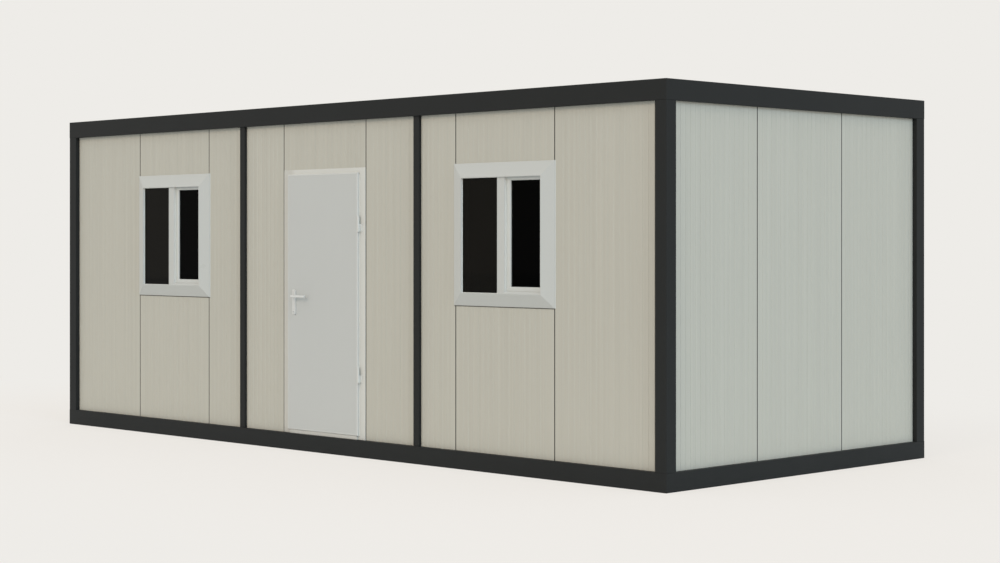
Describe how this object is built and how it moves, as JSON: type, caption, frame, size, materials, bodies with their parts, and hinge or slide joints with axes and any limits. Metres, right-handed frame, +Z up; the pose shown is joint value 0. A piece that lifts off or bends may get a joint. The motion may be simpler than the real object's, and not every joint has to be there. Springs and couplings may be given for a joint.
{
  "type": "portable site cabin",
  "caption": "Flat-roofed portable site cabin: folded steel frame with ribbed sandwich wall panels, sliding windows and an outward-opening door with a lever handle.",
  "frame": {"origin": "middle of the footprint at ground level, on the underside of the middle floor joist", "axes": "+X along the cabin, towards the end wall beside the hinge side; +Z up; the door and windows face -Y"},
  "size_m": [7, 3.0335, 2.7],
  "materials": {
    "frame_steel": "satin anthracite paint on folded steel",
    "galvanised_steel": "galvanised, matt",
    "floor_board": "sealed plywood",
    "ceiling_board": "matt off-white",
    "wall_panel": "matt beige, micro-ribbed",
    "window_pvc": "white, satin",
    "window_glass": "dark tinted",
    "door_paint": "light grey, satin",
    "door_frame_paint": "light grey, satin",
    "lever_metal": "satin, light grey",
    "hinge_metal": "light grey, satin"
  },
  "bodies": {
    "cabin": {"back_panels": "wall_panel", "base_rail_back": "frame_steel", "base_rail_front": "frame_steel", "base_rail_left": "frame_steel", "base_rail_right": "frame_steel", "ceiling_board": "ceiling_board", "corner_post_back_left": "frame_steel", "corner_post_back_right": "frame_steel", "corner_post_front_left": "frame_steel", "corner_post_front_right": "frame_steel", "door_frame": "door_frame_paint", "floor_board": "floor_board", "floor_joists": "galvanised_steel", "front_panel_1": "wall_panel", "front_panel_3": "wall_panel", "front_panel_5": "wall_panel", "front_panel_7": "wall_panel", "hinge_frame_halves": "hinge_metal", "left_end_panels": "wall_panel", "mid_posts_back": "frame_steel", "mid_posts_front": "frame_steel", "over_door_panel": "wall_panel", "right_end_panels": "wall_panel", "roof_joists": "galvanised_steel", "roof_sheet": "galvanised_steel", "top_rail_back": "frame_steel", "top_rail_front": "frame_steel", "top_rail_left": "frame_steel", "top_rail_right": "frame_steel", "window_fixed_glass_left": "window_glass", "window_fixed_glass_right": "window_glass", "window_frame_left": "window_pvc", "window_frame_right": "window_pvc", "window_inner_trims": "window_pvc", "window_panel_left": "wall_panel", "window_panel_right": "wall_panel", "window_sash_glass_left": "window_glass", "window_sash_glass_right": "window_glass", "window_sash_left": "window_pvc", "window_sash_right": "window_pvc"},
    "door": {"door_leaf": "door_paint", "door_lock_plates": "lever_metal", "hinge_leaf_halves": "hinge_metal"},
    "lever": {"door_levers": "lever_metal"}
  },
  "joints": [
    {"name": "door_hinge", "type": "hinge", "parent": "cabin", "child": "door", "pos_m": [0.4295, -1.4835, 1.195], "axis": [0, 0, 1], "range_deg": [0, 165]},
    {"name": "lever_turn", "type": "hinge", "parent": "door", "child": "lever", "pos_m": [-0.334, -1.456, 1.206], "axis": [0, 1, 0], "range_deg": [0, 45], "stiffness_Nm_per_rad": 1.5, "springref_deg": -28.65}
  ]
}
